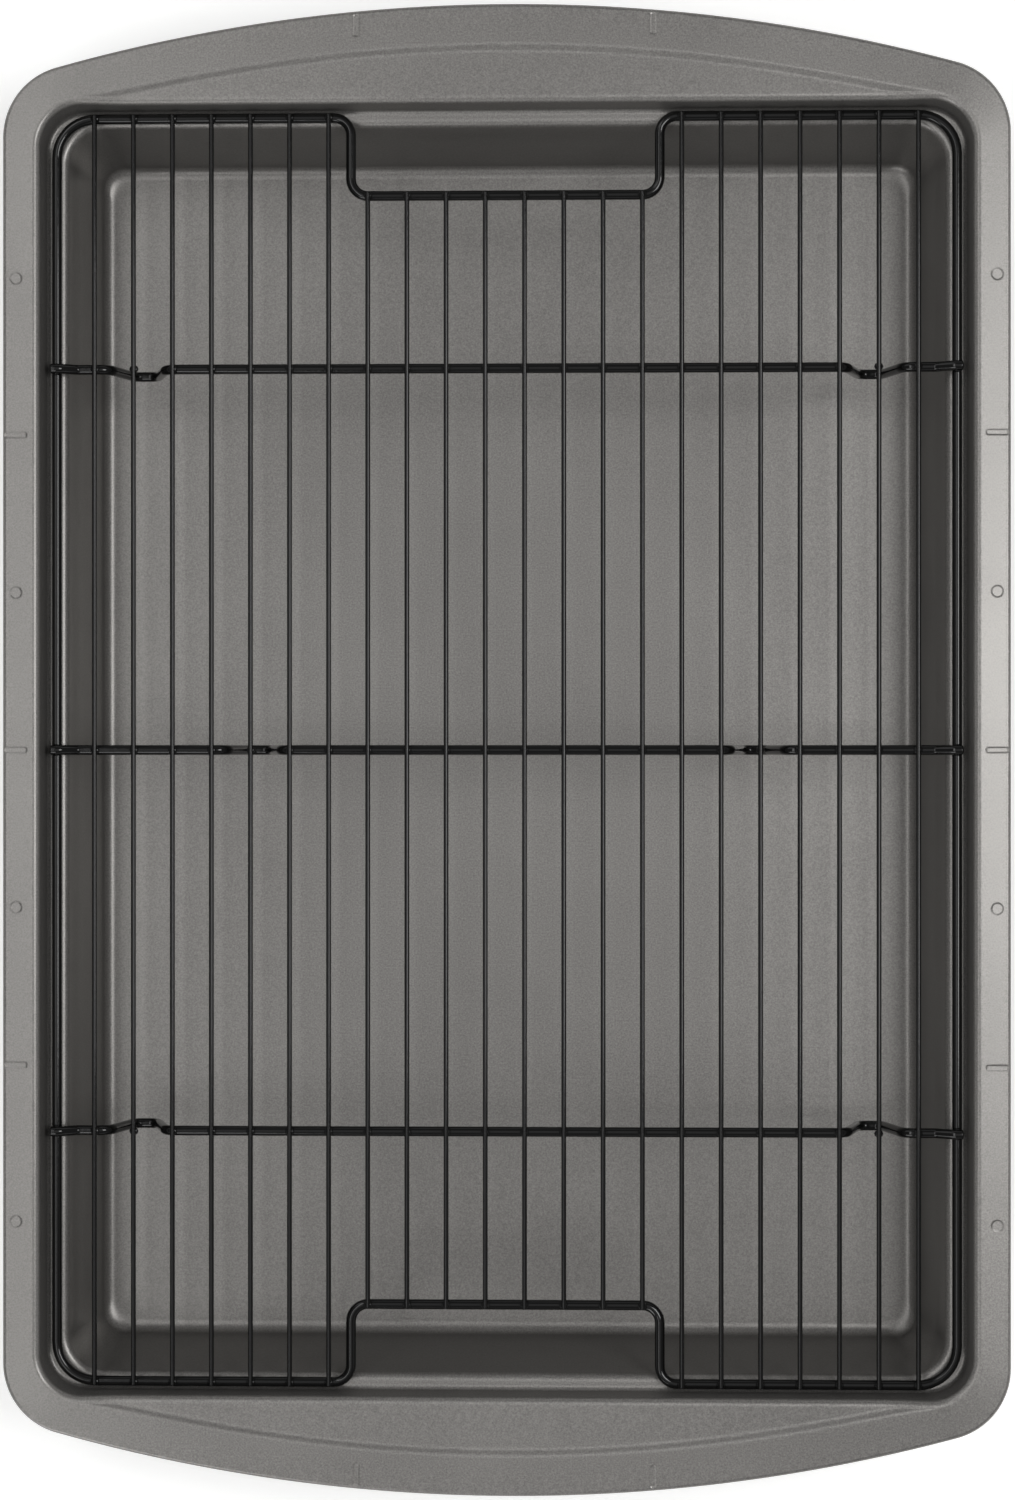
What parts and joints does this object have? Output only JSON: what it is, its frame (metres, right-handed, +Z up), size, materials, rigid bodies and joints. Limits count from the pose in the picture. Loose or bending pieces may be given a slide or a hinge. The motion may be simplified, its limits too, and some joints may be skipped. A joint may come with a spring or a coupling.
{
  "type": "baking pan with wire rack",
  "caption": "Rectangular sheet-metal baking pan with bowed end handles and an inner ledge that carries a lift-out welded wire rack with feet and finger notches.",
  "frame": {"origin": "middle of the underside of the pan's base", "axes": "+X across the pan, +Y along it towards the back handle, +Z up out of the mouth"},
  "size_m": [0.292, 0.432, 0.048],
  "materials": {
    "pan_coating": "grey metallic nonstick coating on carbon steel, satin",
    "rack_coating": "black nonstick coating on steel wire, gloss"
  },
  "bodies": {
    "pan": {"pan_body": "pan_coating"},
    "rack": {"rack_frame": "rack_coating", "cross_wire_front": "rack_coating", "cross_wire_middle": "rack_coating", "cross_wire_back": "rack_coating", "grid_wire_01": "rack_coating", "grid_wire_02": "rack_coating", "grid_wire_03": "rack_coating", "grid_wire_04": "rack_coating", "grid_wire_05": "rack_coating", "grid_wire_06": "rack_coating", "grid_wire_07": "rack_coating", "grid_wire_08": "rack_coating", "grid_wire_09": "rack_coating", "grid_wire_10": "rack_coating", "grid_wire_11": "rack_coating", "grid_wire_12": "rack_coating", "grid_wire_13": "rack_coating", "grid_wire_14": "rack_coating", "grid_wire_15": "rack_coating", "grid_wire_16": "rack_coating", "grid_wire_17": "rack_coating", "grid_wire_18": "rack_coating", "grid_wire_19": "rack_coating", "grid_wire_20": "rack_coating", "grid_wire_21": "rack_coating", "grid_wire_22": "rack_coating"}
  },
  "joints": [
    {"name": "rack_lift", "type": "slide", "parent": "pan", "child": "rack", "axis": [0, 0, 1], "range_m": [0, 0.07]}
  ]
}
